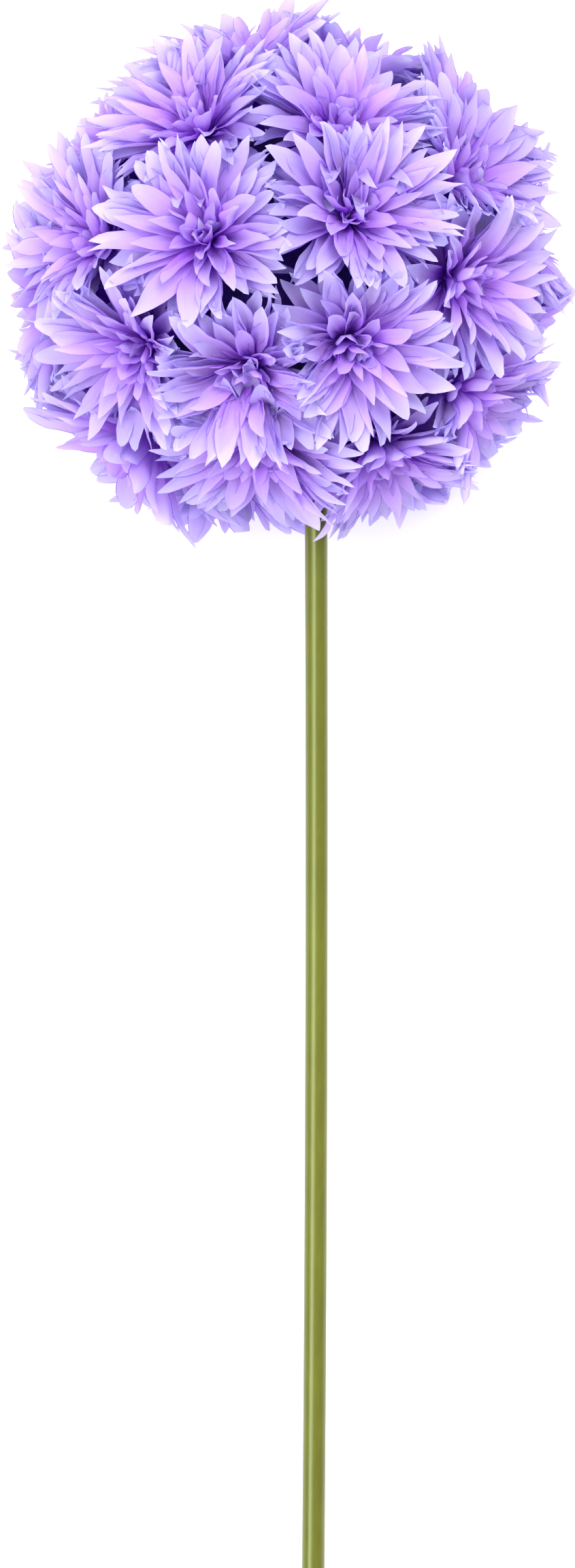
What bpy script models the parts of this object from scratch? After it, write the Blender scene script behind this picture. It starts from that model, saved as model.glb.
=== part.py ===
"""A globe flower head on its cut stem, lying on a flat surface.

The head is a ball of small chrysanthemum-like blooms. Each bloom is one piece: a round heart with whorls
of pointed petals and a peg below it, and the peg stands in a socket of the core. The stem stands in the
core too.

Two frames are used. The flower's own frame is upright: its origin is the middle of the globe, +X is
right, +Y is up the stem towards the head, and +Z is towards the viewer. The model's frame is the flower
laid on its back: +Z is up, the head lies towards +Y, and the origin is below the middle of the whole, on
the surface.
"""

import math
import random

import bmesh
import bpy
from mathutils import Matrix, Vector

# Driving dimensions, in metres
HEART_DISTANCE = 0.071
HEART_RADIUS = 0.0045
CORE_RADIUS = 0.056
PETAL_THICKNESS = 0.0009
STEM_RADIUS = 0.004
STEM_OFFSET = 0.010
STEM_REACH = 0.462
STEM_SOCKET_DEPTH = 0.030
STEM_BOW = 0.0008
STEM_LEAN = -0.0008
REST_HEIGHT = 0.0925
PEG_RADIUS = 0.0022
PEG_DEPTH = 0.006
NECK_LENGTH = 0.009
FIT_GAP = 0.0003

# The globe is a little lower than it is wide
GLOBE_FLATTENING = 0.94

# Whorls of petals, from the lowest to the innermost: the angle from the bloom's own axis in degrees,
# the distance from the heart's middle to the tips and the width, in metres
WHORLS = (
    (98.0, 0.039, 0.0086),
    (79.0, 0.040, 0.0086),
    (60.0, 0.038, 0.0084),
    (41.0, 0.033, 0.0072),
    (21.0, 0.024, 0.0055),
)
PETALS_IN_WHORL = 8
LOWEST_RING_ANGLE = 116.0
WIDEST_AT = 0.5
PETAL_CUP = 0.45
INWARD_CURL = 5.0
MOST_FOLD = 15.0
ANGLE_SPREAD = 2.0
REACH_SPREAD = 0.04
SEED = 1500

# Crowding: how sharply petals turn aside at a wall, and the clearances they keep
CROWDING = 5.0
WALL_MARGIN = 0.0007
NEIGHBOUR_ANGLE = 75.0
STEM_CLEARANCE = 0.0016

# Tips that would come lower than the surface, by this much at most, end on it. The petal of each bloom
# that would come lowest lies flat there, with an end of this size.
PRESSED_DEPTH = 0.0012
PRESSED_LENGTH = 0.006
PRESSED_WIDTH = 0.0044
PRESSED_THICKNESS = 0.0007

# Where the blooms sit on the globe: latitude above its middle and longitude to the right of the viewer,
# in degrees. The far side's are only rough places, from which the blooms push each other apart.
NEAR_BLOOMS = (
    (74, -40), (44, -34), (43, 19), (41, 89),
    (9, -60), (9, -22), (16, 18), (26, 58), (12, 92),
    (-7, -92), (-22, -45), (-29, -11), (-21, 18), (-2, 51),
    (-18, 103), (-50, -85), (-55, -13), (-59, 53), (-36, 74),
)
FAR_BLOOMS = (
    (68, 140), (57, 226), (36, 270), (34, 178), (30, 133),
    (15, 205), (14, 240), (-3, 150), (-12, 184), (-21, 221),
    (-30, 250), (-30, 135), (-52, 170), (-54, 217),
)
SPREADING_ROUNDS = 200
SPREADING_STEP = 0.003

PETAL_COLOUR = (0.47, 0.31, 0.86, 1.0)
CORE_COLOUR = (0.035, 0.02, 0.10, 1.0)
STEM_COLOUR = (0.28, 0.33, 0.05, 1.0)

PEG_SIDES = 8
SOCKET_SIDES = 6
STEM_SIDES = 12
STEM_STATIONS = 6


def clear_scene():
    for obj in list(bpy.data.objects):
        bpy.data.objects.remove(obj)


def material(name, colour, roughness):
    made = bpy.data.materials.new(name)
    made.use_nodes = True
    shader = made.node_tree.nodes["Principled BSDF"]
    shader.inputs["Base Color"].default_value = colour
    shader.inputs["Roughness"].default_value = roughness
    shader.inputs["Metallic"].default_value = 0.0
    return made


def laying_down():
    """The matrix from the flower's own frame to the surface that it lies on.

    It tips the flower back until the stem's cut end touches the surface, with the globe's middle at
    REST_HEIGHT.
    """
    slant = math.hypot(STEM_REACH, STEM_RADIUS)
    tilt = math.asin(REST_HEIGHT / slant) - math.atan2(STEM_RADIUS, STEM_REACH)
    return Matrix.Translation((0, 0, REST_HEIGHT)) @ Matrix.Rotation(tilt, 4, "X")


LAY = laying_down()
FLATTEN = Matrix.Diagonal((1.0, GLOBE_FLATTENING, 1.0, 1.0))
GLOBE_TO_WORLD = LAY @ FLATTEN


def outward(latitude, longitude):
    """The unit vector from the globe's middle to a place on it."""
    lat, lon = math.radians(latitude), math.radians(longitude)
    return Vector((math.cos(lat) * math.sin(lon), math.sin(lat), math.cos(lat) * math.cos(lon)))


def bloom_frame(axis):
    """The bloom's frame in the flower's: its origin is the heart's middle, and +Z its axis."""
    return Matrix.Translation(axis * HEART_DISTANCE) @ axis.to_track_quat("Z", "Y").to_matrix().to_4x4()


def spread_out():
    """The blooms' axes. Those on the far side push each other apart, a little in each round."""
    axes = [outward(*place) for place in NEAR_BLOOMS + FAR_BLOOMS]
    for _ in range(SPREADING_ROUNDS):
        for i in range(len(NEAR_BLOOMS), len(axes)):
            push = Vector((0, 0, 0))
            for other in axes[:i] + axes[i + 1 :] + [Vector((0, -1, 0))]:
                apart = axes[i] - other
                push += apart / apart.length**5
            axes[i] = (axes[i] + (push - axes[i] * push.dot(axes[i])) * SPREADING_STEP).normalized()
    return axes


def walls_of(axis, axes):
    """The planes that a bloom's petals stay behind, as (normal, distance from the heart) in its frame.

    One stands half-way to each neighbour, one keeps the petals off the stem, and one is the surface.
    """
    frame = bloom_frame(axis)
    turn = frame.to_3x3().transposed()
    walls = []
    for other in axes:
        if other is axis or axis.angle(other) > math.radians(NEIGHBOUR_ANGLE):
            continue
        normal = (axis - other).normalized()
        walls.append((turn @ normal, frame.translation.dot(normal) - WALL_MARGIN))
    if axis.y < 0:
        from_stem = frame.translation - Vector((STEM_OFFSET, 0, 0))
        from_stem.y = 0
        room = from_stem.length - STEM_RADIUS - STEM_CLEARANCE
        walls.append((turn @ from_stem.normalized(), room))
    to_world = GLOBE_TO_WORLD @ frame
    rise = to_world.to_3x3()[2]
    walls.append((rise.normalized(), (to_world.translation.z + PRESSED_DEPTH) / rise.length))
    return walls


def free_leans(walls, azimuth, distance):
    """The least and the most that a petal can lean from the axis, between the walls, at a distance."""
    least, most = 0.0, math.pi
    across = Vector((math.cos(azimuth), math.sin(azimuth), 0))
    for normal, room in walls:
        sideways = normal.dot(across)
        size = math.hypot(normal.z, sideways)
        if distance * size <= room:
            continue
        facing = math.atan2(sideways, normal.z)
        if facing < -math.pi / 2:
            facing += math.tau
        swing = math.acos(-room / (distance * size))
        least = max(least, facing - swing)
        most = min(most, facing + swing)
    return least, most


def on_sphere(distance, lean, azimuth):
    flat = distance * math.sin(lean)
    return Vector((flat * math.cos(azimuth), flat * math.sin(azimuth), distance * math.cos(lean)))


def lean_of(point):
    return math.acos(point.z / point.length)


def leaned(point, lean):
    """A point moved to another lean, at the same distance and direction round the axis."""
    return on_sphere(point.length, lean, math.atan2(point.y, point.x))


def crowd(point, walls):
    """Where a point of a free bloom goes when its neighbours press on it.

    Its lean nears each wall ever more slowly, so that no petal passes another.
    """
    least, most = free_leans(walls, math.atan2(point.y, point.x), point.length)
    lean = math.hypot(lean_of(point) ** (CROWDING / 2), least ** (CROWDING / 2)) ** (2 / CROWDING)
    return leaned(point, lean / (1 + (lean / most) ** CROWDING) ** (1 / CROWDING))


def heart_rings(bm, to_world, spin):
    """Rings of points on the heart, each turned half a step from the last, and the point at its top."""
    step = math.tau / PETALS_IN_WHORL
    angles = [LOWEST_RING_ANGLE] + [whorl[0] for whorl in WHORLS]
    rings = []
    for level, angle in enumerate(angles):
        start = spin + step / 2 * (level % 2)
        lean = math.radians(angle)
        places = [on_sphere(HEART_RADIUS, lean, start + step * i) for i in range(PETALS_IN_WHORL)]
        rings.append([bm.verts.new(to_world @ place) for place in places])
    top = bm.verts.new(to_world @ Vector((0, 0, HEART_RADIUS)))
    return rings, top


def petal_middle(walls, lean, azimuth, reach, width):
    """The petal's widest section as left, right and middle points, and its tip, in the bloom's frame.

    Where its neighbours would fold or twist the section sharply, its lower points come up with the highest.
    """
    distance = HEART_RADIUS + WIDEST_AT * (reach - HEART_RADIUS)
    middle = on_sphere(distance, lean, azimuth)
    sideways = Vector((-math.sin(azimuth), math.cos(azimuth), 0))
    inward = middle.cross(sideways).normalized()
    edge = inward * PETAL_CUP * width / 2
    left = middle - sideways * width / 2 + edge
    right = middle + sideways * width / 2 + edge
    tip = on_sphere(reach, max(lean - math.radians(INWARD_CURL), 0.02), azimuth)
    across = [crowd(point, walls) for point in (left, right, middle)]
    limit = min(lean_of(point) for point in across) + math.radians(MOST_FOLD)
    return [leaned(point, min(lean_of(point), limit)) for point in across] + [crowd(tip, walls)]


def section(left, right, middle, tip, thickness):
    """Four points round a petal's section: left, under, right and over."""
    over = (tip - middle).cross(right - left).normalized() * thickness / 2
    return [left, middle - over, right, middle + over]


def join_rings(bm, lower, upper):
    for i, vert in enumerate(lower):
        following = (i + 1) % len(lower)
        bm.faces.new((vert, lower[following], upper[following], upper[i]))


def close_to_point(bm, ring, point):
    for i, vert in enumerate(ring):
        bm.faces.new((vert, ring[(i + 1) % len(ring)], point))


def pressed_end(left, right, middle, tip):
    """A petal's end that bears on the surface: a section at its bend, flat on one side, and its tip."""
    along = Vector((tip.x - middle.x, tip.y - middle.y, 0)).normalized()
    aside = along.cross(Vector((0, 0, PRESSED_WIDTH / 2)))
    if aside.dot(right - left) < 0:
        aside.negate()
    flat = Vector((tip.x, tip.y, 0))
    raised = flat + Vector((0, 0, PRESSED_THICKNESS))
    over, under = (raised, flat) if along.cross(aside).z > 0 else (flat, raised)
    return [flat - aside, under, flat + aside, over], flat + along * PRESSED_LENGTH


def whorl_petals(level, rings, top, to_world, walls, spin, chance):
    """One whorl's petals, each as the diamond of points at its root, its widest section and its tip.

    A root lies between its own ring on the heart and the rings above and below. The innermost whorl has
    every other petal.
    """
    step = math.tau / PETALS_IN_WHORL
    angle, reach, width = WHORLS[level - 1]
    innermost = level == len(WHORLS)
    for i in range(0, PETALS_IN_WHORL, 2 if innermost else 1):
        beyond = (i + level % 2) % PETALS_IN_WHORL
        over = top if innermost else rings[level + 1][beyond]
        root = [rings[level][i], rings[level - 1][beyond], rings[level][(i + 1) % PETALS_IN_WHORL], over]
        azimuth = spin + step * (i + 0.5 + (level % 2) / 2)
        lean = math.radians(angle + chance.uniform(-ANGLE_SPREAD, ANGLE_SPREAD))
        length = reach * (1 + chance.uniform(-REACH_SPREAD, REACH_SPREAD))
        points = [to_world @ point for point in petal_middle(walls, lean, azimuth, length, width)]
        yield root, points


def grow_petals(bm, petals):
    """Runs each petal out of the points at its root, through its widest section, to its tip."""
    lowest = min(petals, key=lambda petal: petal[1][-1].z)
    for root, (left, right, middle, tip) in petals:
        ring = [bm.verts.new(point) for point in section(left, right, middle, tip, PETAL_THICKNESS)]
        join_rings(bm, root, ring)
        if tip.z < 0 and root is lowest[0]:
            bend, tip = pressed_end(left, right, middle, tip)
            pressed = [bm.verts.new(point) for point in bend]
            join_rings(bm, ring, pressed)
            ring = pressed
        tip.z = max(tip.z, 0)
        close_to_point(bm, ring, bm.verts.new(tip))


def close_top(bm, rings, top):
    """The heart's top between the innermost petals."""
    innermost = len(WHORLS)
    for i in range(1, PETALS_IN_WHORL, 2):
        beyond = (i + innermost % 2) % PETALS_IN_WHORL
        following = rings[innermost][(i + 1) % PETALS_IN_WHORL]
        bm.faces.new((rings[innermost][i], rings[innermost - 1][beyond], following, top))


def circle(radius, height, sides, start=0.0):
    """Points round the Z axis at a height."""
    turns = [start + math.tau / sides * i for i in range(sides)]
    return [Vector((radius * math.cos(turn), radius * math.sin(turn), height)) for turn in turns]


def close_underside(bm, rings, to_world, spin):
    """The heart's underside, its neck and the peg that stands in the core."""
    lowest, first = rings[0], rings[1]
    for i, vert in enumerate(lowest):
        bm.faces.new((vert, lowest[(i + 1) % PETALS_IN_WHORL], first[i]))
    above = lowest
    for height in (-NECK_LENGTH, CORE_RADIUS - HEART_DISTANCE - PEG_DEPTH):
        below = [bm.verts.new(to_world @ point) for point in circle(PEG_RADIUS, height, PEG_SIDES, spin)]
        join_rings(bm, above, below)
        above = below
    bm.faces.new(above)


def add_object(name, bm, surface, parent, place):
    """Makes the object, with its origin at its own place."""
    bmesh.ops.recalc_face_normals(bm, faces=bm.faces)
    bmesh.ops.translate(bm, verts=bm.verts, vec=-place)
    mesh = bpy.data.meshes.new(name)
    bm.to_mesh(mesh)
    bm.free()
    mesh.materials.append(surface)
    obj = bpy.data.objects.new(name, mesh)
    obj.location = place
    obj.parent = parent
    bpy.context.scene.collection.objects.link(obj)
    return obj


def make_bloom(number, axis, axes, surface, parent):
    chance = random.Random(SEED + number)
    spin = chance.uniform(0, math.tau)
    to_world = GLOBE_TO_WORLD @ bloom_frame(axis)
    walls = walls_of(axis, axes)
    bm = bmesh.new()
    rings, top = heart_rings(bm, to_world, spin)
    petals = []
    for level in range(1, len(WHORLS) + 1):
        petals += whorl_petals(level, rings, top, to_world, walls, spin, chance)
    grow_petals(bm, petals)
    close_top(bm, rings, top)
    close_underside(bm, rings, to_world, spin)
    return add_object(f"bloom_{number:02d}", bm, surface, parent, to_world.translation)


def stem_middle(share):
    """The stem's middle line, from its end in the core (0) to its cut end (1), in the flower's frame."""
    top = -CORE_RADIUS * GLOBE_FLATTENING + STEM_SOCKET_DEPTH
    aside = STEM_OFFSET + STEM_BOW * 4 * share * (1 - share) + STEM_LEAN * share
    return Vector((aside, top + (-STEM_REACH - top) * share, 0))


def round_ring(middle, radius, sides):
    """Points round the flower's Y axis, at a middle."""
    step = math.tau / sides
    turns = [step * i for i in range(sides)]
    return [middle + radius * Vector((math.sin(turn), 0, -math.cos(turn))) for turn in turns]


def make_stem(surface, parent):
    bm = bmesh.new()
    rings = []
    for station in range(STEM_STATIONS):
        ring = round_ring(stem_middle(station / (STEM_STATIONS - 1)), STEM_RADIUS, STEM_SIDES)
        rings.append([bm.verts.new(LAY @ point) for point in ring])
    for lower, upper in zip(rings, rings[1:]):
        join_rings(bm, lower, upper)
    bm.faces.new(rings[0])
    bm.faces.new(rings[-1])
    return add_object("stem", bm, surface, parent, LAY @ stem_middle(0))


def prism(name, rings):
    """A closed cutter through rings of points."""
    bm = bmesh.new()
    made = [[bm.verts.new(point) for point in ring] for ring in rings]
    for lower, upper in zip(made, made[1:]):
        join_rings(bm, lower, upper)
    bm.faces.new(made[0])
    bm.faces.new(made[-1])
    bmesh.ops.recalc_face_normals(bm, faces=bm.faces)
    mesh = bpy.data.meshes.new(name)
    bm.to_mesh(mesh)
    bm.free()
    return bpy.data.objects.new(name, mesh)


def peg_socket(name, axis):
    """The cutter for a bloom's socket: its flats clear the peg's corners by the fit gap."""
    to_world = GLOBE_TO_WORLD @ bloom_frame(axis)
    radius = (PEG_RADIUS + FIT_GAP) / math.cos(math.pi / SOCKET_SIDES)
    bottom = CORE_RADIUS - HEART_DISTANCE - PEG_DEPTH - FIT_GAP
    rings = [[to_world @ point for point in circle(radius, height, SOCKET_SIDES)] for height in (bottom, 0)]
    return prism(name, rings)


def stem_socket(name):
    """The cutter for the stem's socket, which follows the stem's straight end."""
    radius = (STEM_RADIUS + FIT_GAP) / math.cos(math.pi / STEM_SIDES)
    top = stem_middle(0) + Vector((0, FIT_GAP, 0))
    below = Vector((top.x, -HEART_DISTANCE, 0))
    rings = [[LAY @ point for point in round_ring(middle, radius, STEM_SIDES)] for middle in (top, below)]
    return prism(name, rings)


def make_core(axes, surface, parent):
    """The ball in the middle, with a socket for each bloom's peg and one for the stem."""
    bm = bmesh.new()
    bmesh.ops.create_icosphere(bm, subdivisions=2, radius=CORE_RADIUS, matrix=GLOBE_TO_WORLD)
    core = add_object("core", bm, surface, parent, Vector(GLOBE_TO_WORLD.translation))
    cutters = bpy.data.collections.new("core_cutters")
    bpy.context.scene.collection.children.link(cutters)
    for number, axis in enumerate(axes, 1):
        cutters.objects.link(peg_socket(f"socket_{number:02d}", axis))
    cutters.objects.link(stem_socket("socket_stem"))
    cut = core.modifiers.new("sockets", "BOOLEAN")
    cut.operation = "DIFFERENCE"
    cut.operand_type = "COLLECTION"
    cut.collection = cutters
    cut.solver = "EXACT"
    bpy.context.view_layer.update()
    graph = bpy.context.evaluated_depsgraph_get()
    carved = bpy.data.meshes.new_from_object(core.evaluated_get(graph))
    core.modifiers.clear()
    core.data = carved
    for cutter in list(cutters.objects):
        bpy.data.objects.remove(cutter)
    bpy.data.collections.remove(cutters)
    return core


def centre_footprint(parent):
    """Moves the whole so that the origin lies below the middle of its box."""
    bpy.context.view_layer.update()
    points = [obj.matrix_world @ v.co for obj in parent.children for v in obj.data.vertices]
    lows = [min(point[axis] for point in points) for axis in range(2)]
    highs = [max(point[axis] for point in points) for axis in range(2)]
    parent.location = (-(lows[0] + highs[0]) / 2, -(lows[1] + highs[1]) / 2, 0)


def main():
    clear_scene()
    petals = material("petals", PETAL_COLOUR, 0.75)
    foam = material("core", CORE_COLOUR, 0.9)
    green = material("stem", STEM_COLOUR, 0.4)
    flower = bpy.data.objects.new("flower", None)
    bpy.context.scene.collection.objects.link(flower)
    axes = spread_out()
    for number, axis in enumerate(axes, 1):
        make_bloom(number, axis, axes, petals, flower)
    make_core(axes, foam, flower)
    make_stem(green, flower)
    centre_footprint(flower)


main()
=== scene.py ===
"""The looks of a globe flower head on its cut stem, lying on its back.

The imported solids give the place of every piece. Each bloom's solid is replaced by one with finer petals, and
the stem by a rounder one. A bloom's frame has its origin in the middle of the heart and +Z along its axis.
The flower's frame has its origin in the middle of the globe, +Y up the stem and +Z towards the viewer.
"""

import math

import bmesh
import bpy
import numpy as np
from mathutils import Matrix, Vector


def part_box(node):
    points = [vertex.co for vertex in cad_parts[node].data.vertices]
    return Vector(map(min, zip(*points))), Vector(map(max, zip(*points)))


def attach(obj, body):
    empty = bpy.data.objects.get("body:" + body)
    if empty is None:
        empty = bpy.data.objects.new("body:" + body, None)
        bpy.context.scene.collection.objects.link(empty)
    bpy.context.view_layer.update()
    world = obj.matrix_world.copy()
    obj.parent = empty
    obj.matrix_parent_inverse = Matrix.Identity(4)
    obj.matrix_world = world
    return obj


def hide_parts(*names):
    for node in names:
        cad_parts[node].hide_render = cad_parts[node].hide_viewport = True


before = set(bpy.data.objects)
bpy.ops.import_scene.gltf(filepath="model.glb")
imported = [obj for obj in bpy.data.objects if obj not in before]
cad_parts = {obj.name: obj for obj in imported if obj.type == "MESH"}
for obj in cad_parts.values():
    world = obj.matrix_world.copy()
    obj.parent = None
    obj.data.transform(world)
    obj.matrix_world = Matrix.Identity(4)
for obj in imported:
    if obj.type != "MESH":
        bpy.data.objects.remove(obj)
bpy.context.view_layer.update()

# Sizes shared with the solids, in metres
HEART_DISTANCE = 0.071
CORE_RADIUS = 0.056
GLOBE_FLATTENING = 0.94
STEM_RADIUS = 0.004
STEM_OFFSET = 0.010
STEM_REACH = 0.462
STEM_SOCKET_DEPTH = 0.030
STEM_BOW = 0.0008
STEM_LEAN = -0.0008
REST_HEIGHT = 0.0925

# Where the blooms sit: latitude above the globe's middle and longitude to the right of the viewer, in
# degrees, and the size of those that are larger or smaller than the rest, by their number
NEAR_BLOOMS = (
    (74, -40), (44, -34), (43, 19), (41, 89),
    (9, -60), (9, -22), (16, 18), (26, 58), (12, 92),
    (-7, -92), (-22, -45), (-29, -11), (-21, 18), (-2, 51),
    (-18, 103), (-50, -85), (-55, -13), (-59, 53), (-36, 74),
)
FAR_BLOOMS = (
    (68, 140), (57, 226), (36, 270), (34, 178), (30, 133),
    (15, 205), (14, 240), (-3, 150), (-12, 184), (-21, 221),
    (-30, 250), (-30, 135), (-52, 170), (-54, 217),
)
BLOOM_SIZES = {
    5: 0.95, 9: 0.95, 10: 1.04, 15: 0.93, 16: 1.17,
    20: 0.9, 21: 0.92, 22: 0.85, 32: 1.08, 33: 1.15,
}
SPREADING_ROUNDS = 200
SPREADING_STEP = 0.003

# How deep a bloom's stalk stands in the core, and the stalk and the cup below the petals as (radius, height
# above the heart's middle), in metres
STALK_DEPTH = 0.005
STALK_RINGS = (
    (0.0022, CORE_RADIUS - HEART_DISTANCE - STALK_DEPTH),
    (0.0022, -0.0095),
    (0.0036, -0.0060),
    (0.0058, -0.0030),
    (0.0046, 0.0),
)

# How many sides the stalks and the stem have, and how many steps there are along the stem
STALK_SIDES = 12
STEM_SIDES = 40
STEM_STATIONS = 48

# Whorls of petals from the lowest to the heart: how many, their lean from the axis and how far it strays in
# degrees, their length and width in metres, how far they curl along and roll across, in degrees, and how much
# of the way from the root's deep colour to the tip's pale one they go, which is less in the inner whorls as
# painted shade deep in the bloom
WHORLS = (
    (12, 96.0, 8.0, 0.037, 0.0084, -10.0, 45.0, 1.0),
    (13, 88.0, 8.0, 0.040, 0.0090, -14.0, 45.0, 1.0),
    (14, 80.0, 8.0, 0.042, 0.0094, -16.0, 46.0, 1.0),
    (15, 71.0, 8.0, 0.042, 0.0094, -14.0, 46.0, 1.0),
    (14, 62.0, 8.0, 0.041, 0.0094, -10.0, 48.0, 1.0),
    (12, 52.0, 8.0, 0.037, 0.0092, -5.0, 52.0, 0.92),
    (10, 42.0, 9.0, 0.031, 0.0088, 2.0, 58.0, 0.82),
    (7, 32.0, 11.0, 0.024, 0.0088, 8.0, 70.0, 0.72),
    (4, 25.0, 16.0, 0.019, 0.0100, 26.0, 80.0, 0.66),
    (3, 20.0, 18.0, 0.015, 0.0096, 52.0, 88.0, 0.9),
)
HEART_WHORLS = 2

# Chance, between limits: a petal's place round the axis in steps between petals, its roll in strays of its
# whorl, and its length, width and hollow as shares of its whorl's
PLACE_STRAY = 0.3
ROLL_STRAY = 2.5
LENGTH_SHARES = (0.82, 1.05)
WIDTH_SHARES = (0.8, 1.15)
HOLLOW_SHARES = (0.6, 1.5)

# The seed before the first bloom's, and how far the seeds of two blooms and of two whorls lie apart
SEED = 41
BLOOM_SEED_STEP = 100.0
WHORL_SEED_STEP = 10.0

# Outlines of petals: (how far along, the width there as a share of the most)
POINTED = ((0.0, 0.2), (0.2, 0.56), (0.36, 0.88), (0.52, 1.0), (0.7, 0.9), (0.88, 0.52), (1.0, 0.0))
BLUNT = ((0.0, 0.2), (0.2, 0.5), (0.38, 0.84), (0.56, 1.0), (0.75, 0.94), (0.91, 0.62), (1.0, 0.0))
SPOON = ((0.0, 0.25), (0.2, 0.5), (0.4, 0.82), (0.6, 1.0), (0.79, 0.98), (0.93, 0.7), (1.0, 0.0))
NARROW = ((0.0, 0.2), (0.2, 0.4), (0.38, 0.59), (0.52, 0.64), (0.7, 0.56), (0.87, 0.32), (1.0, 0.0))

# Kinds of petal: name, outline, sweep to one side as a share of the length, and twist in radians
PETAL_KINDS = (
    ("pointed petal", POINTED, 0.06, 0.35),
    ("pointed petal bent left", POINTED, -0.09, -0.2),
    ("pointed petal bent right", POINTED, 0.1, 0.1),
    ("pointed petal twisted", POINTED, -0.03, -0.7),
    ("blunt petal", BLUNT, -0.05, 0.3),
    ("blunt petal bent", BLUNT, 0.09, -0.3),
    ("narrow petal", NARROW, 0.08, 0.6),
)
HEART_KINDS = (
    ("spoon petal", SPOON, 0.12, 0.9),
    ("spoon petal bent", SPOON, -0.14, -0.5),
    ("spoon petal twisted", SPOON, 0.05, -1.6),
)

# One petal: its root's distance from the heart's middle and its thickness in metres, its grid, how its rows
# crowd towards the tip, and the waves of its edges
PETAL_ROOT = 0.002
PETAL_THICKNESS = 0.00045
PETAL_ROWS = 11
PETAL_COLUMNS = 4
ROW_CROWDING = 1.5
RUFFLE = 0.16
RUFFLE_TURNS = 11.0
RUFFLE_SHIFT = 9

# Where a petal's two faces meet: the gap that is closed, in metres, and the fold that stays crisp, in degrees
MERGE_DISTANCE = 0.00001
RIM_ANGLE = 80

# How far the tips of petals sway in metres, how fine the sway is, and how it differs between petals
SWAY = 0.008
SWAY_SCALE = 55.0
SWAY_SPREAD = 50.0

# Crowding: how sharply petals turn aside, how far they reach past the middle between two blooms, in metres,
# and the widest angle between neighbours, in degrees
CROWDING = 6.0
REACH = 0.004
NEIGHBOUR_ANGLE = 75.0

# A bloom lies over those that face the viewer or the surface less than it does by this much, and their low
# petals, which lean this far or more in degrees, lie under it
BOLDER = 0.22
LOW_LEAN = 66.0

# Gaps that petals keep to the stem and the surface, in metres
STEM_CLEARANCE = 0.0012
SURFACE_CLEARANCE = 0.0003

# Petal finish: colours from root to tip, the tints that some petals take, and the line round some rims
PETAL_COLOURS = (
    (0.04, (0.49, 0.05, 0.93)),
    (0.24, (0.64, 0.23, 0.94)),
    (0.48, (0.73, 0.50, 0.94)),
    (0.76, (0.73, 0.62, 0.94)),
    (1.0, (0.74, 0.71, 0.95)),
)
WARM_TINT = (0.83, 0.68, 0.95, 1.0)
WARMTH = 0.12
PALE_TINT = (0.74, 0.70, 0.96, 1.0)
PALE_PETALS = 0.1
PALLOR = 0.2
STREAK_STRETCH = (9.0, 1.3, 60.0)
STREAK_SCALE = 1.6
STREAK_CONTRAST = 0.3
RIM_COLOUR = (0.28, 0.12, 0.74, 1.0)
RIM_START = 0.99
RIM_WAVER = 0.1
RIM_SHUFFLE = 17.0
RIMMED_PETALS = 0.6
RIM_STRENGTH = 0.6
PETAL_ROUGHNESS = 0.62
PETAL_SHEEN = 0.12
PETAL_RELIEF = (0.25, 0.0004)
TRANSLUCENCY = 0.62

# Stem and core finish, with relief here and above as (strength, depth in metres)
STEM_COLOURS = ((0.3, (0.07, 0.072, 0.001)), (0.52, (0.086, 0.09, 0.0015)), (0.7, (0.1, 0.108, 0.003)))
STEM_REFLECTION = (0.85, 1.0, 0.6, 1.0)
STEM_ROUGHNESS = 0.28
STEM_SHEEN = 0.65
STEM_RELIEF = (0.08, 0.0003)
STEM_STRETCH = (1.0, 0.06, 1.0)
STEM_STREAK_SCALE = 520.0
STEM_PATCH_SCALE = 30.0
# The core's near-black violet is painted shade, standing for the depths between the blooms
CORE_COLOURS = ((0.35, (0.02, 0.004, 0.10)), (0.7, (0.045, 0.01, 0.22)))
CORE_ROUGHNESS = 0.9
CORE_RELIEF = (0.5, 0.0006)
CORE_GRAIN_SCALE = 400.0

# Stage: floor, sky, and soft lamps as (name, place in the flower's frame, width, height, watts)
FLOOR_REACH = 4.0
FLOOR_COLOUR = (0.96, 0.96, 0.96, 1.0)
FLOOR_ROUGHNESS = 0.9
SKY_COLOUR = (1.0, 1.0, 1.0, 1.0)
SKY_STRENGTH = 1.12
LAMPS = (
    ("key", (-1.15, -0.3, 1.95), 0.6, 2.4, 41.0),
    ("fill", (0.5, 1.15, 2.0), 1.2, 1.2, 47.0),
)

# Camera: the photograph's centre in the flower's frame, and the height that it shows
VIEW_CENTRE = (0.0002, -0.1793)
VIEW_HEIGHT = 0.5519
VIEW_DISTANCE = 7.0
SENSOR = 36.0


# Places of blooms and stem


def outward(latitude, longitude):
    """The unit vector from the globe's middle to a place on it."""
    lat, lon = math.radians(latitude), math.radians(longitude)
    return Vector((math.cos(lat) * math.sin(lon), math.sin(lat), math.cos(lat) * math.cos(lon)))


def bloom_frame(axis):
    """The matrix from a bloom's frame to the flower's, before the globe is flattened."""
    return Matrix.Translation(axis * HEART_DISTANCE) @ axis.to_track_quat("Z", "Y").to_matrix().to_4x4()


def spread_out():
    """The blooms' axes. Those on the far side push each other apart, a little in each round."""
    axes = [outward(*spot) for spot in NEAR_BLOOMS + FAR_BLOOMS]
    below = Vector((0, -1, 0))
    for _ in range(SPREADING_ROUNDS):
        for i in range(len(NEAR_BLOOMS), len(axes)):
            push = Vector((0, 0, 0))
            for other in axes[:i] + axes[i + 1 :] + [below]:
                apart = axes[i] - other
                push += apart / apart.length**5
            axes[i] = (axes[i] + (push - axes[i] * push.dot(axes[i])) * SPREADING_STEP).normalized()
    return axes


def stem_middle(share):
    """The stem's middle line, from its end in the core (0) to its cut end (1), in the flower's frame."""
    top = -CORE_RADIUS * GLOBE_FLATTENING + STEM_SOCKET_DEPTH
    aside = STEM_OFFSET + STEM_BOW * 4 * share * (1 - share) + STEM_LEAN * share
    return Vector((aside, top + (-STEM_REACH - top) * share, 0))


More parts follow.
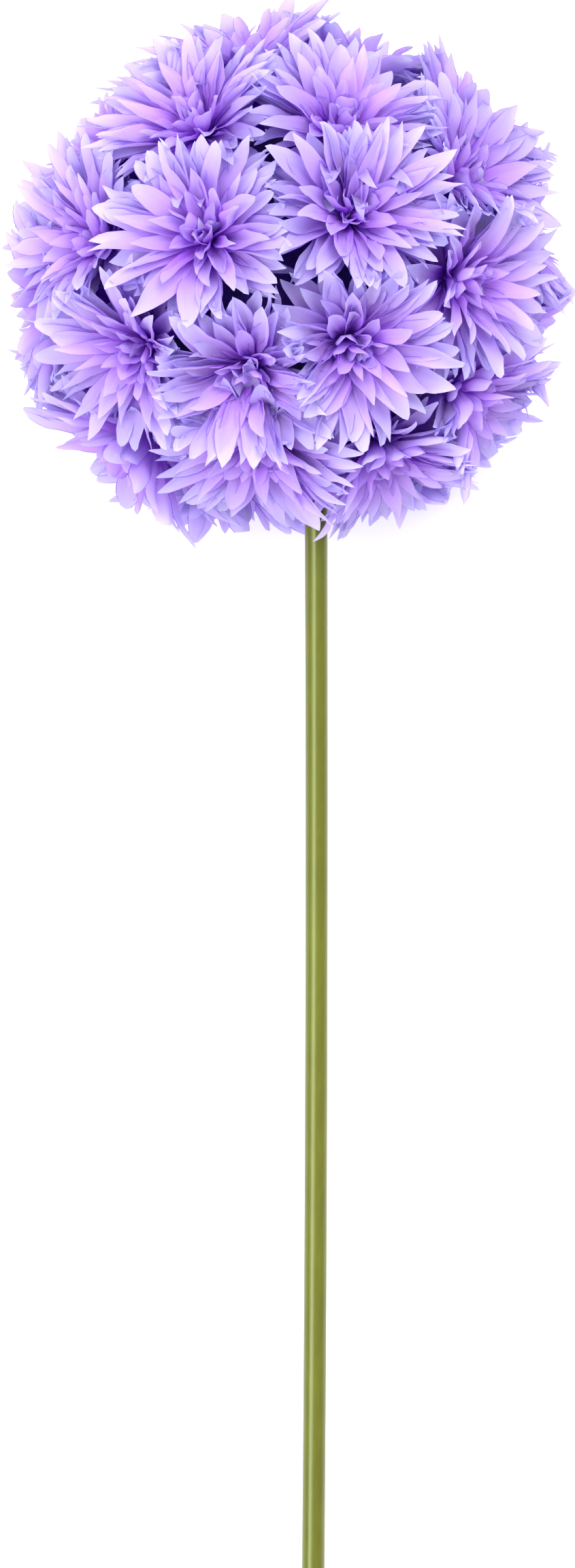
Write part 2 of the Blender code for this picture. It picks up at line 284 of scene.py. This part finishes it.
def flower_place():
    """The matrix from the flower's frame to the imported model's, found at the stem's cut end."""
    slant = math.hypot(STEM_REACH, STEM_RADIUS)
    tilt = math.asin(REST_HEIGHT / slant) - math.atan2(STEM_RADIUS, STEM_REACH)
    laid = Matrix.Translation((0, 0, REST_HEIGHT)) @ Matrix.Rotation(tilt, 4, "X")
    end = laid @ (stem_middle(1) + Vector((0, 0, STEM_RADIUS)))
    across = laid @ stem_middle(1)
    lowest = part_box("stem")[0]
    shift = Vector((lowest.x - (across.x - STEM_RADIUS), lowest.y - end.y, 0))
    return Matrix.Translation(shift) @ laid


# Helpers for node trees


def fill(tree, socket, value):
    """Links a socket to another, or sets its value."""
    if isinstance(value, bpy.types.NodeSocket):
        tree.links.new(value, socket)
    else:
        socket.default_value = value


def add(tree, kind, inputs=(), **settings):
    """A new node, with its settings and its inputs by label or number."""
    node = tree.nodes.new(kind)
    for name, value in settings.items():
        setattr(node, name, value)
    for socket, value in dict(inputs).items():
        fill(tree, node.inputs[socket], value)
    return node


def calc(tree, operation, *values):
    """A maths node's result."""
    return add(tree, "ShaderNodeMath", enumerate(values), operation=operation).outputs["Value"]


def product(tree, first, *others):
    """Two or more numbers multiplied."""
    for other in others:
        first = calc(tree, "MULTIPLY", first, other)
    return first


def vector(tree, *parts):
    """A vector from its three parts."""
    return add(tree, "ShaderNodeCombineXYZ", enumerate(parts)).outputs[0]


def parts_of(tree, source):
    """A vector's parts, X, Y and Z."""
    return add(tree, "ShaderNodeSeparateXYZ", {0: source}).outputs


def scaled(tree, source, factor):
    """A vector made longer by a factor."""
    return add(tree, "ShaderNodeVectorMath", {0: source, "Scale": factor}, operation="SCALE").outputs[0]


def noise(tree, inputs, **settings):
    """A noise node."""
    return add(tree, "ShaderNodeTexNoise", inputs, **settings)


def random_number(tree, low, high, seed, kind="FLOAT"):
    """A random number for each element, between two limits, by the node's sockets for its kind."""
    first = {"FLOAT": 2, "INT": 4}[kind]
    inputs = {first: low, first + 1: high, "Seed": seed}
    return add(tree, "FunctionNodeRandomValue", inputs, data_type=kind).outputs[first // 2]


def stored(tree, geometry, name, value, kind, domain):
    """Geometry that carries a named attribute."""
    inputs = {"Geometry": geometry, "Name": name, "Value": value}
    return add(tree, "GeometryNodeStoreNamedAttribute", inputs, data_type=kind, domain=domain).outputs[0]


def read(tree, name, kind):
    """A named attribute of the geometry."""
    return add(tree, "GeometryNodeInputNamedAttribute", {"Name": name}, data_type=kind).outputs[0]


def shifted(tree, geometry, offset):
    """Geometry with its points moved by an offset."""
    return add(tree, "GeometryNodeSetPosition", {"Geometry": geometry, "Offset": offset}).outputs[0]


def dressed(tree, geometry, surface):
    """Geometry that wears a material."""
    return add(tree, "GeometryNodeSetMaterial", {"Geometry": geometry, "Material": surface}).outputs[0]


def used(tree, group, inputs):
    """The geometry that a group gives for its inputs, by label or number."""
    node = tree.nodes.new("GeometryNodeGroup")
    node.node_tree = group
    for socket, value in dict(inputs).items():
        fill(tree, node.inputs[socket], value)
    return node.outputs[0]


def new_tree(name, inputs):
    """A geometry tree with named inputs and one geometry output, and its input node's sockets."""
    tree = bpy.data.node_groups.new(name, "GeometryNodeTree")
    for label, kind in inputs:
        tree.interface.new_socket(label, in_out="INPUT", socket_type="NodeSocket" + kind)
    tree.interface.new_socket("Geometry", in_out="OUTPUT", socket_type="NodeSocketGeometry")
    return tree, tree.nodes.new("NodeGroupInput").outputs


def give(tree, geometry):
    """Ends a tree with its geometry."""
    add(tree, "NodeGroupOutput", {"Geometry": geometry})
    return tree


# Petals


PETAL_INPUTS = (("Length", "Float"), ("Width", "Float"), ("Curl", "Float"), ("Roll", "Float"))


def arc(tree, turn, share):
    """How far forward and aside a line of length 1 has come at a share of it, when it turns evenly."""
    angle = calc(tree, "MULTIPLY", turn, share)
    forward = calc(tree, "DIVIDE", calc(tree, "SINE", angle), turn)
    aside = calc(tree, "DIVIDE", calc(tree, "SUBTRACT", 1.0, calc(tree, "COSINE", angle)), turn)
    return forward, aside, angle


def petal_grid(tree):
    """A flat grid with UV (across, along), and how far along (0 to 1) and across (-1 to 1) its points are."""
    size = {"Size X": 1.0, "Size Y": 2.0, "Vertices X": PETAL_ROWS, "Vertices Y": PETAL_COLUMNS}
    grid = add(tree, "GeometryNodeMeshGrid", size)
    spot = parts_of(tree, tree.nodes.new("GeometryNodeInputPosition").outputs[0])
    capture = tree.nodes.new("GeometryNodeCaptureAttribute")
    capture.capture_items.new("FLOAT", "Along")
    capture.capture_items.new("FLOAT", "Across")
    fill(tree, capture.inputs["Geometry"], grid.outputs["Mesh"])
    left_over = calc(tree, "POWER", calc(tree, "SUBTRACT", 0.5, spot["X"]), ROW_CROWDING)
    fill(tree, capture.inputs["Along"], calc(tree, "SUBTRACT", 1.0, left_over))
    fill(tree, capture.inputs["Across"], spot["Y"])
    along, across = capture.outputs["Along"], capture.outputs["Across"]
    unwrapped = vector(tree, calc(tree, "MULTIPLY_ADD", across, 0.5, 0.5), along)
    marked = stored(tree, capture.outputs["Geometry"], "UVMap", unwrapped, "FLOAT2", "CORNER")
    return marked, along, across


def width_along(tree, outline, along):
    """A petal's width at a place along it, as a share of the most, on a smooth curve through its outline."""
    curve = add(tree, "ShaderNodeFloatCurve", {"Value": along})
    points = curve.mapping.curves[0].points
    for _ in outline[2:]:
        points.new(0.5, 0.5)
    for point, spot in zip(points, outline):
        point.location = spot
    curve.mapping.update()
    return curve.outputs[0]


def petal_points(tree, given, outline, sweep, twist, along, across):
    """Where the points of a petal's grid go, in a frame with +X along the petal and +Z over its hollow."""
    half = product(tree, given["Width"], 0.5, width_along(tree, outline, along))
    forward, upward, bend = arc(tree, given["Curl"], along)
    sideways, hollow, _ = arc(tree, given["Roll"], across)
    wave = calc(tree, "SINE", calc(tree, "MULTIPLY_ADD", along, RUFFLE_TURNS, twist * RUFFLE_SHIFT))
    ruffle = product(tree, wave, product(tree, across, across, across), RUFFLE)
    high = product(tree, half, calc(tree, "ADD", hollow, ruffle))
    section = {
        "Vector": vector(tree, 0.0, product(tree, half, sideways), high),
        "Angle": product(tree, along, twist),
    }
    twisted = add(tree, "ShaderNodeVectorRotate", section, rotation_type="X_AXIS")
    aside = parts_of(tree, twisted.outputs[0])
    swept = product(tree, calc(tree, "POWER", along, 2.0), sweep, given["Length"])
    back = calc(tree, "MULTIPLY_ADD", aside["Z"], calc(tree, "SINE", bend), -PETAL_ROOT)
    lift = calc(tree, "MULTIPLY", aside["Z"], calc(tree, "COSINE", bend))
    return vector(
        tree,
        calc(tree, "SUBTRACT", product(tree, given["Length"], forward), back),
        calc(tree, "ADD", aside["Y"], swept),
        calc(tree, "MULTIPLY_ADD", given["Length"], upward, lift),
    )


def thickened(tree, sheet, depth):
    """A sheet made a closed lens, smooth on both faces and crisp at the rim."""
    normal = tree.nodes.new("GeometryNodeInputNormal").outputs["Normal"]
    out = scaled(tree, normal, depth)
    under = add(tree, "GeometryNodeFlipFaces", {"Mesh": sheet}).outputs[0]
    both = tree.nodes.new("GeometryNodeJoinGeometry")
    for side in (sheet, under):
        tree.links.new(shifted(tree, side, out), both.inputs[0])
    merging = {"Geometry": both.outputs[0], "Distance": MERGE_DISTANCE}
    closed = add(tree, "GeometryNodeMergeByDistance", merging).outputs[0]
    smooth = add(tree, "GeometryNodeSetShadeSmooth", {"Geometry": closed, "Shade Smooth": True}).outputs[0]
    folded = tree.nodes.new("GeometryNodeInputMeshEdgeAngle").outputs["Unsigned Angle"]
    rim = calc(tree, "GREATER_THAN", folded, math.radians(RIM_ANGLE))
    shading = {"Geometry": smooth, "Selection": rim, "Shade Smooth": False}
    return add(tree, "GeometryNodeSetShadeSmooth", shading, domain="EDGE").outputs[0]


def petal_tree(name, outline, sweep, twist):
    """One petal along +X from the heart, hollow towards +Z, as a closed lens with UV (across, along).

    It sweeps to one side by a share of its length and twists by an angle. Its rows crowd towards the tip.
    """
    tree, given = new_tree(name, PETAL_INPUTS)
    grid, along, across = petal_grid(tree)
    points = petal_points(tree, given, outline, sweep, twist, along, across)
    shaped = add(tree, "GeometryNodeSetPosition", {"Geometry": grid, "Position": points}).outputs[0]
    middling = calc(tree, "SUBTRACT", 1.0, calc(tree, "POWER", calc(tree, "ABSOLUTE", across), 2.0))
    inside = product(tree, along, calc(tree, "SUBTRACT", 1.0, along))
    # Each face moves out by half the thickness halfway along, where inside is a quarter
    depth = product(tree, middling, inside, PETAL_THICKNESS * 2)
    return give(tree, thickened(tree, shaped, depth))


# Whorls and blooms


WHORL_INPUTS = (("Count", "Int"), ("Lean", "Float"), ("Stray", "Float")) + PETAL_INPUTS + (("Seed", "Int"),)


def whorl_tree(name, petals):
    """Petals round the bloom's axis, each one of several petal trees, leaning and turned by chance."""
    tree, given = new_tree(name, WHORL_INPUTS)
    kinds = tree.nodes.new("GeometryNodeJoinGeometry")
    for petal in petals:
        made = used(tree, petal, {label: given[label] for label, _ in PETAL_INPUTS})
        whole = add(tree, "GeometryNodeGeometryToInstance", {0: made})
        tree.links.new(whole.outputs[0], kinds.inputs[0])
    seeds = [calc(tree, "ADD", given["Seed"], float(i)) for i in range(7)]
    place_seed, lean_seed, roll_seed, length_seed, width_seed, hollow_seed, kind_seed = seeds
    step = calc(tree, "DIVIDE", math.tau, given["Count"])
    index = tree.nodes.new("GeometryNodeInputIndex").outputs[0]
    stray = random_number(tree, -PLACE_STRAY, PLACE_STRAY, place_seed)
    start = product(tree, calc(tree, "SINE", given["Seed"]), math.pi)
    azimuth = calc(tree, "MULTIPLY_ADD", calc(tree, "ADD", index, stray), step, start)
    leaning = random_number(tree, -1.0, 1.0, lean_seed)
    lean = calc(tree, "MULTIPLY_ADD", given["Stray"], leaning, given["Lean"])
    roll = product(tree, given["Stray"], random_number(tree, -ROLL_STRAY, ROLL_STRAY, roll_seed))
    size = vector(
        tree,
        random_number(tree, *LENGTH_SHARES, length_seed),
        random_number(tree, *WIDTH_SHARES, width_seed),
        random_number(tree, *HOLLOW_SHARES, hollow_seed),
    )
    placed = add(
        tree,
        "GeometryNodeInstanceOnPoints",
        {
            "Points": add(tree, "GeometryNodePoints", {"Count": given["Count"]}).outputs[0],
            "Instance": kinds.outputs[0],
            "Pick Instance": True,
            "Instance Index": random_number(tree, 0, len(petals) - 1, kind_seed, kind="INT"),
            "Rotation": vector(tree, roll, calc(tree, "SUBTRACT", lean, math.pi / 2), azimuth),
            "Scale": size,
        },
    )
    return give(tree, placed.outputs[0])


def swayed(tree, geometry):
    """Petals with soft waves that grow towards their tips and differ from petal to petal."""
    tint = read(tree, "tint", "FLOAT")
    along = parts_of(tree, read(tree, "UVMap", "FLOAT_VECTOR"))["Y"]
    waves = {"W": product(tree, tint, SWAY_SPREAD), "Scale": SWAY_SCALE, "Detail": 2.0}
    wave = noise(tree, waves, noise_dimensions="4D").outputs["Color"]
    around = add(tree, "ShaderNodeVectorMath", {0: wave, 1: (0.5, 0.5, 0.5)}, operation="SUBTRACT")
    return shifted(tree, geometry, scaled(tree, around.outputs[0], product(tree, along, SWAY)))


def bloom_tree(whorl, heart, surface):
    """All the whorls of a bloom, with each petal a little wavy and a chance number, tint, of its own."""
    tree, given = new_tree("bloom", (("Seed", "Int"),))
    every = tree.nodes.new("GeometryNodeJoinGeometry")
    for level, (count, lean, stray, length, width, curl, roll, painted_shade_paleness) in enumerate(WHORLS):
        group = whorl if level < len(WHORLS) - HEART_WHORLS else heart
        seed = calc(tree, "MULTIPLY_ADD", given["Seed"], BLOOM_SEED_STEP, level * WHORL_SEED_STEP)
        lean, stray, curl, roll = (math.radians(angle) for angle in (lean, stray, curl, roll))
        made = used(tree, group, enumerate((count, lean, stray, length, width, curl, roll, seed)))
        # The inner whorls' shorter way to the pale tip colour is painted shade of the bloom's heart
        shaded = stored(tree, made, "painted_shade_paleness", painted_shade_paleness, "FLOAT", "INSTANCE")
        tree.links.new(shaded, every.inputs[0])
    chance = random_number(tree, 0.0, 1.0, given["Seed"])
    tinted = stored(tree, every.outputs[0], "tint", chance, "FLOAT", "INSTANCE")
    real = add(tree, "GeometryNodeRealizeInstances", {0: tinted}).outputs[0]
    return give(tree, dressed(tree, swayed(tree, real), surface))


def grown(name, tree, values, start=None):
    """The plain mesh that a tree makes from a start mesh, given values for its inputs by their labels."""
    host = bpy.data.objects.new(name, start or bpy.data.meshes.new(name))
    bpy.context.scene.collection.objects.link(host)
    modifier = host.modifiers.new("tree", "NODES")
    modifier.node_group = tree
    for item in tree.interface.items_tree:
        if item.in_out == "INPUT" and item.name in values:
            modifier[item.identifier] = values[item.name]
    host.update_tag()
    graph = bpy.context.evaluated_depsgraph_get()
    graph.update()
    mesh = bpy.data.meshes.new_from_object(host.evaluated_get(graph), depsgraph=graph)
    bpy.data.objects.remove(host)
    mesh.name = name
    return mesh


# Crowding


def walls_between(axis, axes):
    """The planes that a bloom's petals stay behind where other blooms press.

    Each is (normal, distance, whether the bloom's low petals pass under the other's).
    """
    frame_of_bloom = bloom_frame(axis)
    turn = frame_of_bloom.to_3x3().transposed()
    walls = []
    for other in axes:
        if other is axis or axis.angle(other) > math.radians(NEIGHBOUR_ANGLE):
            continue
        normal = (axis - other).normalized()
        under = abs(other.z) > abs(axis.z) + BOLDER
        walls.append((turn @ normal, frame_of_bloom.translation.dot(normal) + REACH, under))
    return walls


def walls_beside(axis, to_world):
    """The planes that a bloom's petals can't pass, at the surface and the stem, in the same form."""
    frame_of_bloom = bloom_frame(axis)
    rise = to_world.to_3x3()[2]
    walls = [(rise.normalized(), (to_world.translation.z - SURFACE_CLEARANCE) / rise.length, False)]
    if axis.y < 0:
        from_stem = frame_of_bloom.translation - Vector((STEM_OFFSET, 0, 0))
        from_stem.y = 0
        room = from_stem.length - STEM_RADIUS - STEM_CLEARANCE
        walls.append((frame_of_bloom.to_3x3().transposed() @ from_stem.normalized(), room, False))
    return walls


def leans_allowed(distance, azimuth, low, walls):
    """The least and most lean from the bloom's axis that keep points behind the walls."""
    least, most = np.zeros(len(distance)), np.full(len(distance), math.pi)
    for normal, room, under in walls:
        sideways = normal.x * np.cos(azimuth) + normal.y * np.sin(azimuth)
        size = np.hypot(normal.z, sideways)
        facing = np.arctan2(sideways, normal.z)
        facing = np.where(facing < -math.pi / 2, facing + math.tau, facing)
        swing = np.arccos(np.clip(-room / (distance * size), -1, 1))
        reached = (distance * size > room) & ~(low & under)
        least = np.where(reached, np.maximum(least, facing - swing), least)
        most = np.where(reached, np.minimum(most, facing + swing), most)
    return least, most


def pressed(points, petal, low, walls, give_way):
    """Where the points of petals go when walls press on them. Each petal swings whole about the heart."""
    distance = np.linalg.norm(points, axis=1)
    lean = np.arccos(points[:, 2] / distance)
    azimuth = np.arctan2(points[:, 1], points[:, 0])
    least, most = leans_allowed(distance, azimuth, low, walls)
    wanted = give_way(lean, least, most) - lean
    up, down = np.zeros(petal.max() + 1), np.zeros(petal.max() + 1)
    np.minimum.at(up, petal, wanted)
    np.maximum.at(down, petal, wanted)
    swing = np.where(-up > down, up, down)[petal]
    middle = np.zeros((petal.max() + 1, 2))
    np.add.at(middle, petal, points[:, :2])
    heading = np.arctan2(middle[:, 1], middle[:, 0])[petal]
    outwards = points[:, 0] * np.cos(heading) + points[:, 1] * np.sin(heading)
    aside = points[:, 1] * np.cos(heading) - points[:, 0] * np.sin(heading)
    far = outwards * np.cos(swing) + points[:, 2] * np.sin(swing)
    high = points[:, 2] * np.cos(swing) - outwards * np.sin(swing)
    right = far * np.cos(heading) - aside * np.sin(heading)
    ahead = far * np.sin(heading) + aside * np.cos(heading)
    return np.stack([right, ahead, high], axis=1)


def softly(lean, least, most):
    """A lean between two limits, that turns from them before it reaches them."""
    half = CROWDING / 2
    lean = np.hypot(lean**half, least**half) ** (1 / half)
    return lean / (1 + (lean / most) ** CROWDING) ** (1 / CROWDING)


def moved(points, matrix):
    """Points taken through a matrix."""
    turned = np.array(matrix.to_3x3())
    return points @ turned.T + np.array(matrix.translation)


def positions(mesh):
    """A mesh's points as an array, one row for each."""
    flat = np.empty(len(mesh.vertices) * 3)
    mesh.vertices.foreach_get("co", flat)
    return flat.reshape(-1, 3)


def settle(mesh, size, axis, axes, to_world):
    """Swings the petals of a bloom's mesh clear of its neighbours, the surface and the stem."""
    tint = np.empty(len(mesh.vertices))
    mesh.attributes["tint"].data.foreach_get("value", tint)
    petal = np.unique(tint, return_inverse=True)[1]
    free = positions(mesh) * size
    middle = np.zeros((petal.max() + 1, 3))
    np.add.at(middle, petal, free)
    upright = np.linalg.norm(middle, axis=1) * math.cos(math.radians(LOW_LEAN))
    low = (middle[:, 2] < upright)[petal]
    crowded = pressed(free, petal, low, walls_between(axis, axes), softly)
    settled = pressed(crowded, petal, low, walls_beside(axis, to_world), np.clip)
    mesh.vertices.foreach_set("co", settled.ravel())


# Materials


def ramp(tree, factor, stops):
    """A colour ramp's colour, from (place, colour) pairs."""
    node = add(tree, "ShaderNodeValToRGB", {"Fac": factor})
    for _ in stops[2:]:
        node.color_ramp.elements.new(0.5)
    for element, (spot, colour) in zip(node.color_ramp.elements, stops):
        element.position = spot
        element.color = (*colour, 1.0)
    return node.outputs["Color"]


def mixed(tree, factor, first, second):
    """Two colours mixed by a factor, by the node's sockets for colours."""
    return add(tree, "ShaderNodeMix", {0: factor, 6: first, 7: second}, data_type="RGBA").outputs[2]


def roughened(tree, shader, height, strength, distance):
    """Gives a shader fine relief from a height."""
    bump = add(tree, "ShaderNodeBump", {"Strength": strength, "Distance": distance, "Height": height})
    fill(tree, shader.inputs["Normal"], bump.outputs[0])


def new_material(name, roughness):
    """A material, its tree and its shader."""
    made = bpy.data.materials.new(name)
    made.use_nodes = True
    shader = made.node_tree.nodes["Principled BSDF"]
    shader.inputs["Roughness"].default_value = roughness
    return made, made.node_tree, shader


def rim_line(tree, across, tint, streaks):
    """How strong the dark line round the rim of some petals is."""
    aside = product(tree, calc(tree, "ABSOLUTE", calc(tree, "SUBTRACT", across, 0.5)), 2.0)
    edge = calc(tree, "MULTIPLY_ADD", streaks, RIM_WAVER, aside)
    shuffled = calc(tree, "FRACT", product(tree, tint, RIM_SHUFFLE))
    rimmed = calc(tree, "LESS_THAN", shuffled, RIMMED_PETALS)
    return product(tree, calc(tree, "GREATER_THAN", edge, RIM_START), product(tree, rimmed, RIM_STRENGTH))


def petal_material():
    """Thin violet petals, deep at the root and pale at the tip and deeper in the inner whorls as painted
    shade, with fine streaks and a darker rim.
    """
    made, tree, shader = new_material("violet petals", PETAL_ROUGHNESS)
    unwrapped = parts_of(tree, tree.nodes.new("ShaderNodeUVMap").outputs[0])
    across, along = unwrapped["X"], unwrapped["Y"]
    tint = add(tree, "ShaderNodeAttribute", attribute_name="tint").outputs["Fac"]
    painted_shade_paleness = add(tree, "ShaderNodeAttribute", attribute_name="painted_shade_paleness").outputs["Fac"]
    stretched = [product(tree, part, size) for part, size in zip((across, along, tint), STREAK_STRETCH)]
    grain = {"Vector": vector(tree, *stretched), "Scale": STREAK_SCALE, "Detail": 3.0}
    streaks = noise(tree, grain).outputs["Fac"]
    streaked = calc(tree, "MULTIPLY_ADD", streaks, STREAK_CONTRAST, -STREAK_CONTRAST / 2)
    # Inner whorls stop short of the pale tip colour: painted shade deep in the bloom
    body = ramp(tree, calc(tree, "MULTIPLY_ADD", along, painted_shade_paleness, streaked), PETAL_COLOURS)
    warmed = mixed(tree, product(tree, tint, WARMTH), body, WARM_TINT)
    pallor = product(tree, calc(tree, "LESS_THAN", tint, PALE_PETALS), product(tree, along, PALLOR))
    paled = mixed(tree, pallor, warmed, PALE_TINT)
    colour = mixed(tree, rim_line(tree, across, tint, streaks), paled, RIM_COLOUR)
    fill(tree, shader.inputs["Base Color"], colour)
    shader.inputs["Specular IOR Level"].default_value = PETAL_SHEEN
    roughened(tree, shader, streaks, *PETAL_RELIEF)
    glow = add(tree, "ShaderNodeBsdfTranslucent", {"Color": colour})
    both = add(tree, "ShaderNodeMixShader", {0: TRANSLUCENCY, 1: shader.outputs[0], 2: glow.outputs[0]})
    fill(tree, tree.nodes["Material Output"].inputs["Surface"], both.outputs[0])
    return made


def stem_material():
    """Smooth satin yellow-green, with faint streaks along the stem."""
    made, tree, shader = new_material("green stem", STEM_ROUGHNESS)
    shader.inputs["Specular IOR Level"].default_value = STEM_SHEEN
    shader.inputs["Specular Tint"].default_value = STEM_REFLECTION
    spot = tree.nodes.new("ShaderNodeTexCoord").outputs["Object"]
    stretched = add(tree, "ShaderNodeMapping", {"Vector": spot, "Scale": STEM_STRETCH}).outputs[0]
    grain = {"Vector": stretched, "Scale": STEM_STREAK_SCALE, "Detail": 3.0}
    streaks = noise(tree, grain).outputs["Fac"]
    patches = noise(tree, {"Vector": spot, "Scale": STEM_PATCH_SCALE, "Detail": 2.0}).outputs["Fac"]
    blend = calc(tree, "MULTIPLY_ADD", streaks, 0.5, product(tree, patches, 0.5))
    fill(tree, shader.inputs["Base Color"], ramp(tree, blend, STEM_COLOURS))
    roughened(tree, shader, streaks, *STEM_RELIEF)
    return made


def core_material():
    """Near-black violet, painted shade for the depths between the blooms."""
    made, tree, shader = new_material("dark core", CORE_ROUGHNESS)
    spot = tree.nodes.new("ShaderNodeTexCoord").outputs["Object"]
    grain = noise(tree, {"Vector": spot, "Scale": CORE_GRAIN_SCALE, "Detail": 4.0}).outputs["Fac"]
    fill(tree, shader.inputs["Base Color"], ramp(tree, grain, CORE_COLOURS))
    roughened(tree, shader, grain, *CORE_RELIEF)
    return made


# Pieces


def piece(name, mesh, node):
    """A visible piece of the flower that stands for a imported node."""
    obj = bpy.data.objects.new(name, mesh)
    bpy.context.scene.collection.objects.link(obj)
    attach(obj, "root")
    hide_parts(node)


def add_stalk(mesh):
    """Joins the stalk and cup to a bloom's mesh, in the bloom's frame.

    They wear the mesh's last material, which is the petals'.
    """
    bm = bmesh.new()
    bm.from_mesh(mesh)
    turns = [math.tau / STALK_SIDES * i for i in range(STALK_SIDES)]
    rings = []
    for radius, height in STALK_RINGS:
        rings.append([bm.verts.new((radius * math.cos(t), radius * math.sin(t), height)) for t in turns])
    faces = [bm.faces.new(rings[-1]), bm.faces.new(reversed(rings[0]))]
    for lower, upper in zip(rings, rings[1:]):
        for i in range(STALK_SIDES):
            j = (i + 1) % STALK_SIDES
            faces.append(bm.faces.new((lower[i], lower[j], upper[j], upper[i])))
    for face in faces:
        face.material_index = len(mesh.materials) - 1
        face.smooth = True
    bm.to_mesh(mesh)
    bm.free()


def make_blooms(place, petals):
    """All the blooms, each in the place of its solid."""
    whorls = whorl_tree("whorl", [petal_tree(*kind) for kind in PETAL_KINDS])
    hearts = whorl_tree("heart whorl", [petal_tree(*kind) for kind in HEART_KINDS])
    tree = bloom_tree(whorls, hearts, petals)
    axes = spread_out()
    globe = place @ Matrix.Diagonal((1.0, GLOBE_FLATTENING, 1.0, 1.0))
    for number, axis in enumerate(axes, 1):
        node = f"bloom_{number:02d}"
        mesh = grown(node + "_petals", tree, {"Seed": SEED + number})
        to_world = globe @ bloom_frame(axis)
        settle(mesh, BLOOM_SIZES.get(number, 1.0), axis, axes, to_world)
        add_stalk(mesh)
        mesh.vertices.foreach_set("co", moved(positions(mesh), to_world).ravel())
        mesh.update()
        piece(node + "_petals", mesh, node)


def stem_tree(surface):
    """A round rod along a line of points, closed at both ends."""
    tree, given = new_tree("stem", (("Path", "Geometry"), ("Radius", "Float")))
    line = add(tree, "GeometryNodeMeshToCurve", {0: given["Path"]}).outputs[0]
    circle = {"Resolution": STEM_SIDES, "Radius": given["Radius"]}
    ring = add(tree, "GeometryNodeCurvePrimitiveCircle", circle).outputs[0]
    sweep = {"Curve": line, "Profile Curve": ring, "Fill Caps": True}
    rod = add(tree, "GeometryNodeCurveToMesh", sweep).outputs[0]
    return give(tree, dressed(tree, rod, surface))


def make_stem(place, surface):
    """The stem, in the place of its solid."""
    line = [place @ stem_middle(i / STEM_STATIONS) for i in range(STEM_STATIONS + 1)]
    path = bpy.data.meshes.new("stem_path")
    path.from_pydata(line, [(i, i + 1) for i in range(STEM_STATIONS)], [])
    mesh = grown("stem_rod", stem_tree(surface), {"Radius": STEM_RADIUS}, path)
    for face in mesh.polygons:
        face.use_smooth = len(face.vertices) == 4
    piece("stem_rod", mesh, "stem")


# Stage


def make_floor():
    """A plain pale floor."""
    far = FLOOR_REACH
    mesh = bpy.data.meshes.new("floor")
    mesh.from_pydata([(-far, -far, 0), (far, -far, 0), (far, far, 0), (-far, far, 0)], [], [(0, 1, 2, 3)])
    made, _, shader = new_material("pale floor", FLOOR_ROUGHNESS)
    shader.inputs["Base Color"].default_value = FLOOR_COLOUR
    mesh.materials.append(made)
    floor = bpy.data.objects.new("floor", mesh)
    bpy.context.scene.collection.objects.link(floor)


def make_lights(place):
    """An even sky and soft lamps that face the globe."""
    world = bpy.data.worlds.new("studio")
    world.use_nodes = True
    sky = world.node_tree.nodes["Background"].inputs
    sky["Color"].default_value = SKY_COLOUR
    sky["Strength"].default_value = SKY_STRENGTH
    bpy.context.scene.world = world
    for name, spot, width, height, energy in LAMPS:
        lamp = bpy.data.objects.new(name, bpy.data.lights.new(name, "AREA"))
        lamp.data.shape = "RECTANGLE"
        lamp.data.size = width
        lamp.data.size_y = height
        lamp.data.energy = energy
        lamp.location = place @ Vector(spot)
        aim = place.translation - lamp.location
        lamp.rotation_euler = aim.to_track_quat("-Z", "Y").to_euler()
        bpy.context.scene.collection.objects.link(lamp)


def make_camera(place):
    """The photograph's camera, which looks straight at the flower's side."""
    camera = bpy.data.objects.new("camera", bpy.data.cameras.new("camera"))
    camera.data.sensor_width = SENSOR
    camera.data.lens = SENSOR * VIEW_DISTANCE / VIEW_HEIGHT
    camera.matrix_world = place @ Matrix.Translation((*VIEW_CENTRE, VIEW_DISTANCE))
    bpy.context.scene.collection.objects.link(camera)
    bpy.context.scene.camera = camera
    bpy.context.scene.view_settings.view_transform = "Standard"


place = flower_place()
make_floor()
make_lights(place)
make_camera(place)
make_blooms(place, petal_material())
make_stem(place, stem_material())
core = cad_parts["core"]
core.data.materials.clear()
core.data.materials.append(core_material())
